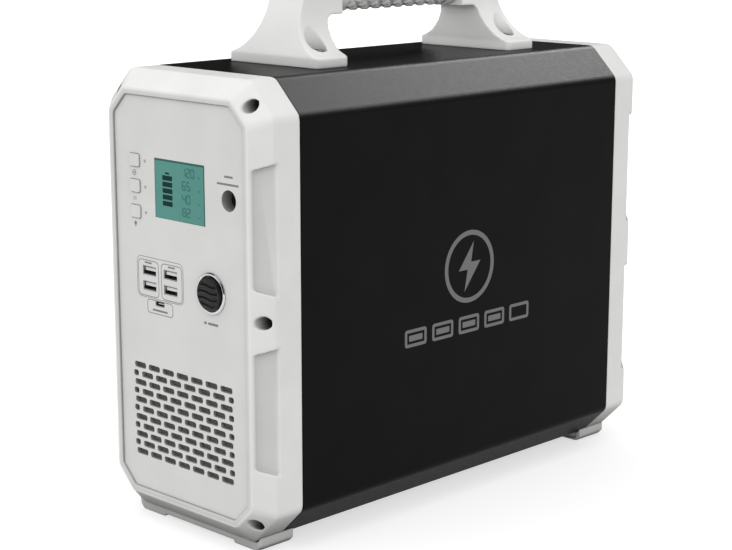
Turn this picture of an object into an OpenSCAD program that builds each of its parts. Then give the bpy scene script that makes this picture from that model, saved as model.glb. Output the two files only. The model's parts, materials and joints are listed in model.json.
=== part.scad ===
// Portable power station: an aluminium sleeve closed by two moulded end caps, with a
// fixed carrying handle, ports and a display on the front panel, outlets on the rear
// panel, and a battery, an inverter and two fans inside.
// Millimetres. +Z is up, the control panel faces -Y, and the feet stand on Z = 0.

/* [Body] */
// Width of the sleeve
body_w = 158; // [154:1:162]
// Height of the sleeve, without feet and handle
body_h = 294; // [292:1:298]
// Length of the sleeve between the end caps
sleeve_len = 314; // [312:1:320]
// Leg of the sleeve's corner chamfers
chamfer = 22; // [20:1:22]
// Wall thickness of the sleeve
sleeve_wall = 2.5; // [2:0.5:3]
// Height of the feet under the sleeve
foot_h = 6; // [5:1:10]

/* [End caps] */
// Depth of the straight side of an end cap
cap_side = 21.5; // [21:0.5:23]
// Depth of the 45 degree bevel of an end cap
cap_bevel = 11.5; // [11:0.5:12]
// Distance from the outer side of an end cap to its panel
panel_inset = 16; // [15.5:0.5:16.5]
// How far a panel's face lies behind the cap's rim
panel_recess = 1.5; // [1:0.5:2]
// Thickness of a panel
panel_t = 2.5; // [2:0.5:3]
// Diameter of the wells that hold the cap screws
well_d = 8; // [7:0.5:8]
// Depth of the shallow pockets in the side bevels
pocket_depth = 3.3; // [1.5:0.1:3.5]

/* [Handle] */
// Distance from the sleeve's top to the underside of the grip
finger_gap = 32; // [30:1:40]
// Diameter of the grip
grip_d = 32; // [30:1:33]
// Length of the textured grip
grip_len = 100; // [90:2:104]
// Distance from the middle of the handle to the middle of a foot's base
foot_reach = 93.3; // [92:0.1:96]
// Width of a handle foot's base
foot_w = 86; // [84:1:88]
// Depth of a handle foot's base
foot_d = 28.5; // [28:0.5:30]

/* [Front panel] */
// Width of the display window
lcd_w = 48.6; // [46:0.2:50]
// Height of the display window
lcd_h = 38; // [36:0.5:39]
// Travel of the buttons
button_travel = 0.8; // [0.5:0.1:0.9]
// Diameter of the recessed direct-current input
dc_d = 13.4; // [12.8:0.2:13.6]
// Bore of the twelve volt socket
socket_d = 21; // [20.8:0.1:21.2]

/* [Vents and fans] */
// Number of vent slots in a full row
vent_cols = 7; // [5:1:7]
// Number of vent rows
vent_rows = 11; // [5:2:11]
// Length of a vent slot
slot_len = 11.5; // [8:0.5:11.5]
// Height of a vent slot
slot_h = 4; // [2.6:0.2:4]
// Side of a fan's square frame
fan_side = 80; // [80:1:82]

/* [Battery] */
// Number of prismatic cells
cell_count = 14; // [10:1:14]
// Thickness of one cell
cell_t = 19; // [18:0.5:19]

/* [Hidden] */
$fn = 48;
cap_depth = cap_side + cap_bevel;
panel_face = cap_depth - panel_recess;
panel_back = panel_face - panel_t;
cap_head_top = panel_face + 3.5;
proud = cap_head_top - cap_depth;
mid_y = proud / 2;
base_z = foot_h;
front_y = mid_y - sleeve_len / 2;
rear_y = mid_y + sleeve_len / 2;
top_z = base_z + body_h;

bezel_wall = 3.5;
ledge_inset = 20;
ledge_back = cap_side - 2.5;
screw_head_at = 9;
screw_spots = [for (s = [-1, 1]) for (p = [
    [body_w / 2 - 15.2, 15.2],
    [body_w / 2 - 6.1, body_h / 2],
    [body_w / 2 - 15.2, body_h - 15.2]]) [s * p.x, p.y]];

pocket_near = 21.3;
pocket_far = 92.9;
pocket_flare = 4.4;
pocket_edge = 1;

lcd_at = [1.3, 220.4];
button_u = -43;
button_rows = [236, 219.3, 202.6];
button_size = [10.3, 8.4];
led_u = -32.9;
dc_at = [48.2, 220.2];
dc_recess = 5.5;
usb_spots = [for (u = [-30.8, -9.6]) for (v = [165, 154.9]) [u, v]];
usb_c_at = [-20.8, 144.4];
socket_at = [30.2, 159.6];
outlet_spots = [[0, 232], [0, 182]];
vent_pitch = [14.3, 5.95];
vent_at = [0, 70.2];

display_board_at = panel_back - 5.9;
board_t = 1.6;
usb_board_at = panel_back - 15;
fan_t = 15;
fan_back = panel_back - 2 - fan_t;
fan_bore = 77;
fan_hole = fan_side / 2 - 4.25;
fan_hub_d = 30;

neck_w = 33;
foot_base_h = 6.5;
grip_z = finger_gap + grip_d / 2;
outer_lean = 0.36;
inner_lean = 0.2;
flare_r = 32;
collar_len = 9;
bar_d = 16;
bolt_u = 26;
bolt_well_d = 14;

rail_v = [21.5, 176];
rail_t = 2.5;
cell_pitch = cell_t + 1;
cell_size = [128, cell_t, 130];
cell_v = rail_v[0] + rail_t + 2;
pack_len = cell_count * cell_pitch;
bms_top = cell_v + cell_size.z + 4.7 + board_t;
deck_v = rail_v[1] + rail_t;
deck_t = 2.5;
inverter_v = deck_v + deck_t + 7;

white = [0.86, 0.86, 0.85];
panel_white = [0.80, 0.81, 0.79];
black = [0.08, 0.08, 0.08];
steel = [0.6, 0.6, 0.62];
copper = [0.75, 0.45, 0.25];
board_green = [0.05, 0.3, 0.15];

// ---- placing -----------------------------------------------------------------

// Draws in a frame on an end of the sleeve: X to the right as that end is looked at,
// Y up from the sleeve's bottom, Z outwards from the sleeve's end.
module front_end() {
    translate([0, front_y, base_z])
        rotate([90, 0, 0])
            children();
}

module rear_end() {
    translate([0, rear_y, base_z])
        rotate([90, 0, 180])
            children();
}

// Draws inside the sleeve: the middle of its length, up from its bottom.
module inside() {
    translate([0, mid_y, base_z])
        children();
}

// Draws on the sleeve's top at the middle of its length.
module on_top() {
    translate([0, mid_y, top_z])
        children();
}

module both_sides() {
    children();
    mirror([1, 0, 0])
        children();
}

module at(spot, height = 0) {
    translate([spot.x, spot.y, height])
        children();
}

// ---- shared outlines ---------------------------------------------------------

function octagon(w, h, c) = [
    [c - w / 2, 0], [w / 2 - c, 0], [w / 2, c], [w / 2, h - c],
    [w / 2 - c, h], [c - w / 2, h], [-w / 2, h - c], [-w / 2, c]];

module section(inset = 0) {
    translate([0, inset])
        polygon(octagon(body_w - 2 * inset, body_h - 2 * inset,
                        chamfer - inset * (2 - sqrt(2))));
}

module rounded_box(size, r) {
    translate([r - size.x / 2, -size.y / 2])
        square([size.x - 2 * r, size.y]);
    translate([-size.x / 2, r - size.y / 2])
        square([size.x, size.y - 2 * r]);
    for (u = [-1, 1], v = [-1, 1])
        translate([u * (size.x / 2 - r), v * (size.y / 2 - r)])
            circle(r);
}

module plate(size, r, from, to) {
    translate([0, 0, from])
        linear_extrude(to - from)
            rounded_box(size, r);
}

module block(low, high) {
    translate(low)
        cube(high - low);
}

module tube(outer_d, inner_d, h) {
    difference() {
        cylinder(d = outer_d, h = h);
        translate([0, 0, -1])
            cylinder(d = inner_d, h = h + 2);
    }
}

// ---- sleeve ------------------------------------------------------------------

module shell() {
    color(black)
        difference() {
            union() {
                front_end()
                    mirror([0, 0, 1])
                        linear_extrude(sleeve_len)
                            difference() {
                                section();
                                section(sleeve_wall);
                            }
                front_end()
                    mirror([0, 0, 1])
                        intersection() {
                            for (p = screw_spots)
                                at(p)
                                    cylinder(r = 3.6, h = sleeve_len);
                            linear_extrude(sleeve_len)
                                section(sleeve_wall / 2);
                        }
                shell_rails();
            }
            front_end()
                for (p = screw_spots)
                    at(p, -sleeve_len - 1)
                        cylinder(r = 1.6, h = sleeve_len + 2);
            on_top()
                for (u = [-1, 1], y = [-1, 1])
                    translate([u * bolt_u, y * foot_reach, -sleeve_wall - 1])
                        cylinder(d = 6.4, h = sleeve_wall + 2);
        }
}

module shell_rails() {
    reach = [11, 7];
    inside()
        both_sides()
            for (i = [0, 1])
                block([body_w / 2 - sleeve_wall / 2 - reach[i], -sleeve_len / 2, rail_v[i]],
                      [body_w / 2 - sleeve_wall / 2, sleeve_len / 2, rail_v[i] + rail_t]);
}

// ---- end caps ----------------------------------------------------------------

// A long bar whose outer end has both edges bevelled; four of them, crossed, leave
// the bevelled octagonal block of an end cap.
module bevel_bar(half, length) {
    rotate([90, 0, 0])
        linear_extrude(length, center = true)
            polygon([[-half, 0], [half, 0], [half, cap_side],
                     [half - cap_bevel, cap_depth], [cap_bevel - half, cap_depth],
                     [-half, cap_side]]);
}

module cap_block() {
    diagonal = (body_w / 2 + body_h / 2 - chamfer) / sqrt(2);
    reach = body_w + body_h;
    translate([0, body_h / 2, 0])
        intersection() {
            bevel_bar(body_w / 2, reach);
            rotate([0, 0, 90])
                bevel_bar(body_h / 2, reach);
            rotate([0, 0, 45])
                bevel_bar(diagonal, reach);
            rotate([0, 0, -45])
                bevel_bar(diagonal, reach);
        }
}

module bevel_pocket(low, high) {
    edge = body_w / 2 - cap_bevel + pocket_edge;
    floor_front = cap_depth - pocket_edge - pocket_depth;
    floor_back = cap_side - pocket_depth;
    over = 4;
    intersection() {
        translate([0, body_h, 0])
            rotate([90, 0, 0])
                linear_extrude(body_h)
                    polygon([[edge, floor_front], [edge, cap_depth + over],
                             [body_w / 2 + over, cap_depth + over],
                             [body_w / 2 + over, floor_back - over]]);
        translate([body_w / 4, 0, 0])
            rotate([90, 0, 90])
                linear_extrude(body_w / 2)
                    pocket_side(low, high);
    }
}

// The pocket's two ends spread apart towards the sleeve.
module pocket_side(low, high) {
    spread = pocket_flare / cap_bevel;
    deep = cap_bevel + 8;
    polygon([[low, cap_depth], [low - spread * deep, cap_depth - deep],
             [high + spread * deep, cap_depth - deep], [high, cap_depth]]);
}

module bezel() {
    difference() {
        union() {
            intersection() {
                cap_block();
                union() {
                    linear_extrude(cap_side)
                        difference() {
                            section();
                            section(bezel_wall);
                        }
                    translate([0, 0, ledge_back])
                        linear_extrude(cap_depth)
                            difference() {
                                section();
                                section(ledge_inset);
                            }
                    for (p = screw_spots)
                        at(p)
                            cylinder(r = 6.4, h = cap_depth);
                }
            }
            bezel_lip();
        }
        translate([0, 0, panel_back])
            linear_extrude(cap_depth)
                section(panel_inset);
        for (p = screw_spots) {
            at(p, screw_head_at)
                cylinder(d = well_d, h = cap_depth);
            at(p, -sleeve_wall)
                cylinder(r = 2.1, h = cap_depth);
        }
        both_sides() {
            bevel_pocket(body_h / 2 + pocket_near, body_h / 2 + pocket_far);
            bevel_pocket(body_h / 2 - pocket_far, body_h / 2 - pocket_near);
        }
    }
}

// The lip that locates a cap inside the end of the sleeve.
module bezel_lip() {
    lip_depth = 4;
    difference() {
        translate([0, 0, -lip_depth])
            linear_extrude(lip_depth + 3)
                difference() {
                    section(sleeve_wall + 0.15);
                    section(sleeve_wall + 2.2);
                }
        for (p = screw_spots)
            at(p, -lip_depth - 1)
                cylinder(r = 4, h = lip_depth + 1);
        for (s = [-1, 1], v = rail_v)
            block([s > 0 ? body_w / 4 : -body_w / 2, v - 0.4, -lip_depth - 1],
                  [s > 0 ? body_w / 2 : -body_w / 4, v + rail_t + 0.4, 0]);
    }
}

module front_bezel() {
    color(white)
        front_end()
            bezel();
}

module rear_bezel() {
    color(white)
        rear_end()
            bezel();
}

module bezel_screws() {
    for (p = screw_spots)
        at(p) {
            translate([0, 0, screw_head_at])
                difference() {
                    cylinder(d = 7, h = 3);
                    translate([0, 0, 1.5])
                        cylinder(d = 3.4, h = 2, $fn = 6);
                }
            translate([0, 0, -13])
                cylinder(r = 1.55, h = screw_head_at + 13.5);
        }
}

module front_bezel_screws() {
    color(steel)
        front_end()
            bezel_screws();
}

module rear_bezel_screws() {
    color(steel)
        rear_end()
            bezel_screws();
}

// A strip under an end cap and the sleeve's end, with a pad at each side that wraps
// the chamfer.
module feet() {
    inner = 35;
    outer = body_w / 2 - chamfer + 4;
    round_off = 3.5;
    strip = foot_h - 1.4;
    under_sleeve = 8;
    front = cap_side - 0.8;
    block([chamfer - body_w / 2, -strip, 2 - under_sleeve],
          [body_w / 2 - chamfer, 0, front - 0.6]);
    both_sides()
        translate([0, 0, -under_sleeve])
            linear_extrude(under_sleeve + front)
                polygon([[inner, -strip], [inner, 0.5 - foot_h], [inner + 0.5, -foot_h],
                         [outer - round_off, -foot_h], [outer, round_off - foot_h],
                         [outer, outer + chamfer - body_w / 2],
                         [body_w / 2 - chamfer, 0], [body_w / 2 - chamfer, -strip]]);
}

module front_feet() {
    color([0.55, 0.55, 0.55])
        front_end()
            feet();
}

module rear_feet() {
    color([0.55, 0.55, 0.55])
        rear_end()
            feet();
}

// ---- panels ------------------------------------------------------------------

module panel_outline() {
    section(panel_inset + 0.15);
}

// Full rows alternate with rows shifted by half a pitch, closed by short slots.
module vent_slots() {
    r = 1.5;
    half_row = (vent_cols - 1) / 2;
    short = slot_len * 0.43;
    translate(vent_at)
        for (row = [0 : vent_rows - 1]) {
            v = (row - (vent_rows - 1) / 2) * vent_pitch.y;
            if (row % 2 == 0)
                for (col = [0 : vent_cols - 1])
                    translate([(col - half_row) * vent_pitch.x, v])
                        rounded_box([slot_len, slot_h], r);
            else {
                for (col = [0 : vent_cols - 2])
                    translate([(col - half_row + 0.5) * vent_pitch.x, v])
                        rounded_box([slot_len, slot_h], r);
                for (s = [-1, 1])
                    translate([s * (half_row * vent_pitch.x + slot_len / 2 - short / 2 + 1.2), v])
                        rounded_box([short, slot_h], r);
            }
        }
}

// A thin sheet of filter mesh clamped behind a grille, with holes for the fan's posts.
module filter_sheet() {
    half = [fan_hole + 16, fan_hole - 1.5];
    color([0.3, 0.3, 0.3])
        difference() {
            at(vent_at)
                plate(2 * half, 2, panel_back - 1, panel_back);
            for (u = [-1, 1], v = [-1, 1])
                at(vent_at + [u, v] * fan_hole, panel_back - 2)
                    cylinder(d = 7.6, h = 3);
        }
}

module intake_filter() {
    front_end()
        filter_sheet();
}

module exhaust_filter() {
    rear_end()
        filter_sheet();
}

module fan_posts() {
    for (u = [-1, 1], v = [-1, 1])
        translate([vent_at.x + u * fan_hole, vent_at.y + v * fan_hole, panel_back - 2])
            difference() {
                cylinder(d = 7, h = 2.5);
                translate([0, 0, -1])
                    cylinder(r = 1.4, h = 3);
            }
}

display_posts = [[-52, 195], [-52, 245.5], [30, 195], [30, 245.5]];
usb_posts = [[-45, 142], [-45, 172], [4, 142], [4, 172]];

module board_posts(spots, board_at) {
    for (p = spots)
        at(p, board_at + board_t)
            difference() {
                cylinder(d = 5, h = panel_back - board_at - board_t + 0.5);
                translate([0, 0, -1])
                    cylinder(r = 1.1, h = 5);
            }
}

module front_panel() {
    color(panel_white)
        front_end() {
            difference() {
                union() {
                    translate([0, 0, panel_back])
                        linear_extrude(panel_t)
                            difference() {
                                panel_outline();
                                vent_slots();
                                front_cutouts();
                            }
                    at(dc_at, panel_back - dc_recess)
                        cylinder(d = dc_d + 3.2, h = dc_recess + 0.5);
                }
                at(dc_at, panel_back - dc_recess - 1)
                    cylinder(d = dc_d, h = dc_recess + panel_t + 2);
            }
            fan_posts();
            board_posts(display_posts, display_board_at);
            board_posts(usb_posts, usb_board_at);
        }
}

module front_cutouts() {
    translate(lcd_at)
        square([lcd_w + 0.3, lcd_h + 0.3], center = true);
    for (v = button_rows) {
        translate([button_u, v])
            rounded_box(button_size + [0.5, 0.5], 1.7);
        translate([led_u, v + 0.2])
            circle(d = 1.9);
    }
    for (p = usb_spots)
        translate(p)
            square([13.4, 6.2], center = true);
    translate(usb_c_at)
        rounded_box([9.6, 3.8], 1.8);
    translate(socket_at)
        circle(d = socket_d + 4.4);
}

module rear_panel() {
    color(panel_white)
        rear_end() {
            translate([0, 0, panel_back])
                linear_extrude(panel_t)
                    difference() {
                        panel_outline();
                        vent_slots();
                        for (p = outlet_spots)
                            translate(p) {
                                rounded_box([34.4, 28.4], 6.2);
                                for (s = [-1, 1])
                                    translate([s * 22, 0])
                                        circle(r = 1.7);
                            }
                    }
            fan_posts();
        }
}

// ---- display and buttons -----------------------------------------------------

module display_window() {
    color([0.35, 0.6, 0.55])
        front_end()
            at(lcd_at)
                plate([lcd_w, lcd_h], 0.6, panel_back, panel_face - 0.3);
}

module display_module() {
    color([0.7, 0.72, 0.72])
        front_end()
            at(lcd_at)
                plate([lcd_w + 6, lcd_h + 6], 1, display_board_at + board_t, panel_back);
}

module display_board() {
    color(board_green)
        front_end()
            difference() {
                block([-56, 192, display_board_at], [34, 248, display_board_at + board_t]);
                for (p = display_posts)
                    at(p, display_board_at - 1)
                        cylinder(r = 1.25, h = board_t + 2);
            }
}

module button_switches() {
    body_top = panel_back - 2.1 - button_travel;
    color(black)
        front_end()
            for (v = button_rows)
                at([button_u, v])
                    plate([6, 6], 0.5, display_board_at + board_t, body_top);
}

// A square key with a flange behind the panel that keeps it in.
module button(row) {
    flange = button_size + [2.4, 2.4];
    color(white)
        front_end()
            at([button_u, button_rows[row]]) {
                plate(button_size, 1.6, panel_back - 0.5, panel_face + 0.9);
                plate(flange, 1, panel_back - 2, panel_back - 0.2);
            }
}

module ac_button() {
    button(0);
}

module dc_button() {
    button(1);
}

module light_button() {
    button(2);
}

module status_leds() {
    color([0.6, 0.8, 0.6])
        front_end()
            for (v = button_rows)
                at([led_u, v + 0.2], display_board_at + board_t)
                    cylinder(d = 1.6, h = panel_face - display_board_at - board_t + 0.2);
}

// ---- ports -------------------------------------------------------------------

module dc_input_jack() {
    depth = 11.5;
    bore = 9.5;
    color(black)
        front_end()
            at(dc_at, panel_back - dc_recess - depth) {
                difference() {
                    cylinder(d = dc_d + 2.6, h = depth);
                    translate([0, 0, depth - bore])
                        cylinder(d = 7.9, h = bore + 1);
                }
                cylinder(d = 1, h = depth - 1.5);
            }
}

module usb_a_shells() {
    outer = [13.1, 5.9];
    wall = 0.4;
    color(steel)
        front_end()
            for (p = usb_spots)
                at(p)
                    difference() {
                        plate(outer, 0.6, usb_board_at + board_t, panel_face - 0.3);
                        plate(outer - 2 * [wall, wall], 0.3, usb_board_at + board_t + 1,
                              panel_face + 1);
                    }
}

module usb_a_tongues() {
    color([0.9, 0.9, 0.9])
        front_end()
            for (p = usb_spots)
                at(p + [0, 0.75])
                    plate([11, 1.9], 0.2, usb_board_at + board_t + 1, panel_face - 1.3);
}

module usb_c_port() {
    start = usb_board_at + board_t;
    color(steel)
        front_end()
            at(usb_c_at) {
                difference() {
                    plate([9.2, 3.4], 1.6, start, panel_face - 0.3);
                    plate([8.5, 2.7], 1.3, start + 1, panel_face + 1);
                }
                plate([6.7, 0.7], 0.2, start, panel_face - 1.2);
            }
}

module usb_board() {
    color(board_green)
        front_end()
            difference() {
                block([-50, 137, usb_board_at], [9, 177, usb_board_at + board_t]);
                for (p = usb_posts)
                    at(p, usb_board_at - 1)
                        cylinder(r = 1.25, h = board_t + 2);
            }
}

module board_screws() {
    color(steel)
        front_end()
            for (group = [[display_posts, display_board_at], [usb_posts, usb_board_at]])
                for (p = group[0])
                    at(p, group[1]) {
                        translate([0, 0, -1.6])
                            cylinder(d = 4, h = 1.6);
                        cylinder(r = 1.05, h = 5);
                    }
}

// ---- twelve volt socket ------------------------------------------------------

socket_deep = 42;

module socket_housing() {
    color(black)
        front_end()
            at(socket_at, panel_face - socket_deep)
                difference() {
                    cylinder(d = socket_d + 4, h = socket_deep);
                    translate([0, 0, 3])
                        cylinder(d = socket_d + 1.2, h = socket_deep);
                    translate([0, 0, -1])
                        cylinder(d = 6.1, h = 5);
                }
}

module socket_liner() {
    color(steel)
        front_end()
            at(socket_at, panel_face - socket_deep + 3)
                tube(socket_d + 1.1, socket_d, socket_deep - 3);
}

module socket_contact() {
    color([0.8, 0.65, 0.3])
        front_end()
            at(socket_at, panel_face - socket_deep - 4) {
                cylinder(d = 6, h = 8);
                translate([0, 0, 8])
                    cylinder(d1 = 6, d2 = 4, h = 2);
            }
}

// The bright collar around the mouth of the socket.
module socket_ring() {
    inner = socket_d / 2 + 0.9;
    outer = socket_d / 2 + 2.9;
    color([0.85, 0.85, 0.87])
        front_end()
            at(socket_at, panel_face)
                rotate_extrude()
                    polygon([[inner, 0], [outer, 0], [outer, 0.5], [outer - 0.6, 1.2],
                             [inner + 0.3, 1.2], [inner, 0.9]]);
}

module socket_nut() {
    color(black)
        front_end()
            at(socket_at, panel_back - 5)
                difference() {
                    cylinder(d = socket_d + 11, h = 5, $fn = 6);
                    translate([0, 0, -1])
                        cylinder(d = socket_d + 4.1, h = 7);
                }
}

// A rubber plug with cross ribs to pull it by.
module socket_cap() {
    head_d = socket_d + 0.9;
    head_from = panel_face + 0.1;
    rib_pitch = 4.2;
    color(black)
        front_end()
            at(socket_at) {
                difference() {
                    translate([0, 0, head_from])
                        cylinder(d = head_d, h = cap_head_top - head_from);
                    for (i = [-2 : 1])
                        translate([-head_d, (i + 0.5) * rib_pitch - 0.9, cap_head_top - 1.4])
                            cube([2 * head_d, 1.8, 3]);
                }
                difference() {
                    translate([0, 0, panel_face - 9])
                        cylinder(d = socket_d - 0.5, h = head_from + 9 - panel_face);
                    translate([0, 0, panel_face - 10])
                        cylinder(d = socket_d - 5, h = 8);
                }
            }
}

// ---- fans --------------------------------------------------------------------

module fan_frame() {
    translate([vent_at.x, vent_at.y, fan_back])
        difference() {
            union() {
                difference() {
                    plate([fan_side, fan_side], 4, 0, fan_t);
                    translate([0, 0, -1])
                        cylinder(d = fan_bore, h = fan_t + 2);
                }
                for (a = [45 : 90 : 315])
                    rotate([0, 0, a])
                        block([0, -2, 0], [fan_bore / 2 + 2, 2, 2.5]);
                cylinder(d = fan_hub_d, h = 2.5);
                cylinder(d = 8, h = 9);
            }
            translate([0, 0, -1])
                cylinder(r = 1.55, h = 12);
            for (u = [-1, 1], v = [-1, 1])
                translate([u * fan_hole, v * fan_hole, -1])
                    cylinder(r = 1.7, h = fan_t + 2);
        }
}

module fan_rotor() {
    blades = 7;
    low = 3.2;
    high = fan_t - 1.5;
    translate([vent_at.x, vent_at.y, fan_back]) {
        difference() {
            translate([0, 0, low])
                cylinder(d = fan_hub_d, h = high - low);
            translate([0, 0, low - 1])
                cylinder(d = fan_hub_d - 4, h = high - low - 1);
        }
        translate([0, 0, 0.5])
            cylinder(r = 1.5, h = high - 1.5);
        intersection() {
            translate([0, 0, low + 0.3])
                tube(fan_bore - 1.8, fan_hub_d - 1, high - low - 0.6);
            for (i = [0 : blades - 1])
                rotate([0, 0, i * 360 / blades])
                    translate([fan_bore / 4 + 7, 0, (low + high) / 2])
                        rotate([38, 0, 0])
                            cube([fan_bore / 2 - 10, 20, 1.6], center = true);
        }
    }
}

module intake_fan_frame() {
    color(black)
        front_end()
            fan_frame();
}

module intake_fan_rotor() {
    color([0.15, 0.15, 0.15])
        front_end()
            fan_rotor();
}

module exhaust_fan_frame() {
    color(black)
        rear_end()
            fan_frame();
}

module exhaust_fan_rotor() {
    color([0.15, 0.15, 0.15])
        rear_end()
            fan_rotor();
}

module fan_screw_set() {
    for (u = [-1, 1], v = [-1, 1])
        translate([vent_at.x + u * fan_hole, vent_at.y + v * fan_hole, fan_back]) {
            translate([0, 0, -2])
                cylinder(d = 5.5, h = 2);
            cylinder(r = 1.35, h = fan_t + 1.8);
        }
}

module fan_screws() {
    color(steel) {
        front_end()
            fan_screw_set();
        rear_end()
            fan_screw_set();
    }
}

// ---- outlets -----------------------------------------------------------------

module ac_outlets() {
    flange = [50, 34];
    color(black)
        rear_end()
            for (p = outlet_spots)
                at(p)
                    difference() {
                        union() {
                            plate([34, 28], 6, panel_back - 1, panel_face + 0.6);
                            plate(flange, 3, panel_back - 3, panel_back);
                            plate([32, 27], 3, panel_back - 20, panel_back - 2);
                        }
                        for (s = [-1, 1])
                            translate([s * 22, 0, panel_back - 4])
                                cylinder(r = 1.25, h = 5);
                        translate([-6.35, 4, panel_back - 14])
                            plate([2, 8], 0.3, 0, 20);
                        translate([6.35, 4, panel_back - 14])
                            plate([2, 6.6], 0.3, 0, 20);
                        translate([0, -8, panel_back - 14])
                            cylinder(d = 5, h = 20);
                    }
}

module outlet_screws() {
    color(steel)
        rear_end()
            for (p = outlet_spots, s = [-1, 1])
                at(p + [s * 22, 0]) {
                    translate([0, 0, panel_face])
                        cylinder(d = 5, h = 1.4);
                    translate([0, 0, panel_back - 3])
                        cylinder(r = 1.2, h = panel_t + 3.2);
                }
}

// ---- handle ------------------------------------------------------------------

function arc(centre, r, from, to, steps) = [for (i = [0 : steps])
    centre + r * [cos(from + (to - from) * i / steps), sin(from + (to - from) * i / steps)]];

// Front view of a foot: a wide base swept in to a narrow neck with a round top.
module foot_front_view() {
    sweep = acos((flare_r + (neck_w - foot_w) / 2) / flare_r);
    half = concat(
        [[foot_w / 2, 0]],
        arc([neck_w / 2 + flare_r, foot_base_h + flare_r * sin(sweep)], flare_r,
            180 + sweep, 180, 12),
        [[neck_w / 2, grip_z]]);
    polygon(concat(half, arc([0, grip_z], neck_w / 2, 0, 180, 16),
                   [for (i = [len(half) - 1 : -1 : 0]) [-half[i].x, half[i].y]]));
}

// Side view of a foot, its outer face at the left: it leans towards the grip.
module foot_side_view() {
    outer = -foot_d / 2;
    inner = foot_d / 2;
    top = grip_z + neck_w / 2;
    elbow = 20;
    reach = foot_reach - grip_len / 2 - collar_len;
    lean_top = outer + outer_lean * (top - elbow - foot_base_h);
    inner_top = inner + inner_lean * (finger_gap - 6 - foot_base_h);
    polygon(concat(
        [[outer, 0], [outer, foot_base_h], [lean_top, top - elbow]],
        arc([lean_top + elbow, top - elbow], elbow, 180, 90, 10),
        [[reach, top], [reach, finger_gap - 0.5]],
        arc([inner_top + 6.5, finger_gap - 6.5], 6, 90, 160, 6),
        [[inner, foot_base_h], [inner, 0]]));
}

module handle_foot() {
    difference() {
        translate([0, -foot_reach, 0])
            intersection() {
                translate([0, 60, 0])
                    rotate([90, 0, 0])
                        linear_extrude(120)
                            foot_front_view();
                translate([-foot_w, 0, 0])
                    rotate([90, 0, 90])
                        linear_extrude(2 * foot_w)
                            foot_side_view();
            }
        for (u = [-1, 1])
            translate([u * bolt_u, -foot_reach, 0]) {
                translate([0, 0, foot_base_h - 1])
                    cylinder(d = bolt_well_d, h = finger_gap);
                translate([0, 0, -1])
                    cylinder(d = 6.4, h = foot_base_h + 1);
            }
        translate([0, -bar_half() - 0.1, grip_z])
            rotate([-90, 0, 0])
                cylinder(d = bar_d + 0.1, h = foot_reach);
    }
}

function bar_half() = grip_len / 2 + collar_len + 20;

module handle_front_foot() {
    color(white)
        on_top()
            handle_foot();
}

module handle_rear_foot() {
    color(white)
        on_top()
            rotate([0, 0, 180])
                handle_foot();
}

module handle_bar() {
    color(steel)
        on_top()
            translate([0, -bar_half(), grip_z])
                rotate([-90, 0, 0])
                    tube(bar_d, bar_d - 4, 2 * bar_half());
}

module handle_grip() {
    half = grip_len / 2;
    color([0.75, 0.75, 0.74])
        on_top()
            translate([0, 0, grip_z])
                rotate([-90, 0, 0])
                    rotate_extrude()
                        polygon([[bar_d / 2 + 0.05, -half], [grip_d / 2 - 1, -half],
                                 [grip_d / 2, 1 - half], [grip_d / 2, half - 1],
                                 [grip_d / 2 - 1, half], [bar_d / 2 + 0.05, half]]);
}

module handle_collars() {
    color(white)
        on_top()
            for (s = [-1, 1])
                translate([0, s * (grip_len / 2 + collar_len / 2) - collar_len / 2, grip_z])
                    rotate([-90, 0, 0])
                        tube(grip_d + 0.6, bar_d + 0.1, collar_len);
}

module handle_bolts() {
    color(steel)
        on_top()
            for (u = [-1, 1], y = [-1, 1])
                translate([u * bolt_u, y * foot_reach, 0]) {
                    translate([0, 0, foot_base_h - 1])
                        difference() {
                            cylinder(d = 10, h = 5);
                            translate([0, 0, 2.5])
                                cylinder(d = 5.7, h = 3, $fn = 6);
                        }
                    translate([0, 0, -12])
                        cylinder(d = 6, h = 12 + foot_base_h);
                }
}

module handle_nut_plates() {
    color(steel)
        on_top()
            for (y = [-1, 1])
                translate([0, y * foot_reach, -sleeve_wall - 5])
                    difference() {
                        plate([84, 24], 3, 0, 5);
                        for (u = [-1, 1])
                            translate([u * bolt_u, 0, -1])
                                cylinder(d = 6.1, h = 7);
                    }
}

// ---- battery -----------------------------------------------------------------

module battery_tray() {
    side = body_w / 2 - sleeve_wall - 4.5;
    half = pack_len / 2 + 5;
    floor_v = rail_v[0] + rail_t;
    color(steel)
        inside() {
            block([-side, -half, floor_v], [side, half, floor_v + 2]);
            both_sides()
                block([side - 2, -half, floor_v], [side, half, floor_v + 12]);
        }
}

module battery_cells() {
    color([0.2, 0.35, 0.6])
        inside()
            for (i = [0 : cell_count - 1])
                translate([0, (i - (cell_count - 1) / 2) * cell_pitch, cell_v]) {
                    plate([cell_size.x, cell_size.y], 2, 0, cell_size.z);
                    for (s = [-1, 1])
                        translate([s * 40, 0, cell_size.z])
                            cylinder(d = 9, h = 2);
                }
}

module battery_end_plates() {
    color(steel)
        inside()
            for (s = [-1, 1])
                difference() {
                    block([-70, s > 0 ? pack_len / 2 : -pack_len / 2 - 3, cell_v],
                          [70, s > 0 ? pack_len / 2 + 3 : -pack_len / 2, cell_v + 104]);
                    battery_rod_holes();
                }
}

rod_spots = [[-67, cell_v + 18], [67, cell_v + 18], [-67, cell_v + 92], [67, cell_v + 92]];

module battery_rod_holes() {
    for (p = rod_spots)
        translate([p.x, 0, p.y])
            rotate([90, 0, 0])
                cylinder(r = 2.1, h = 2 * pack_len, center = true);
}

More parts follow.
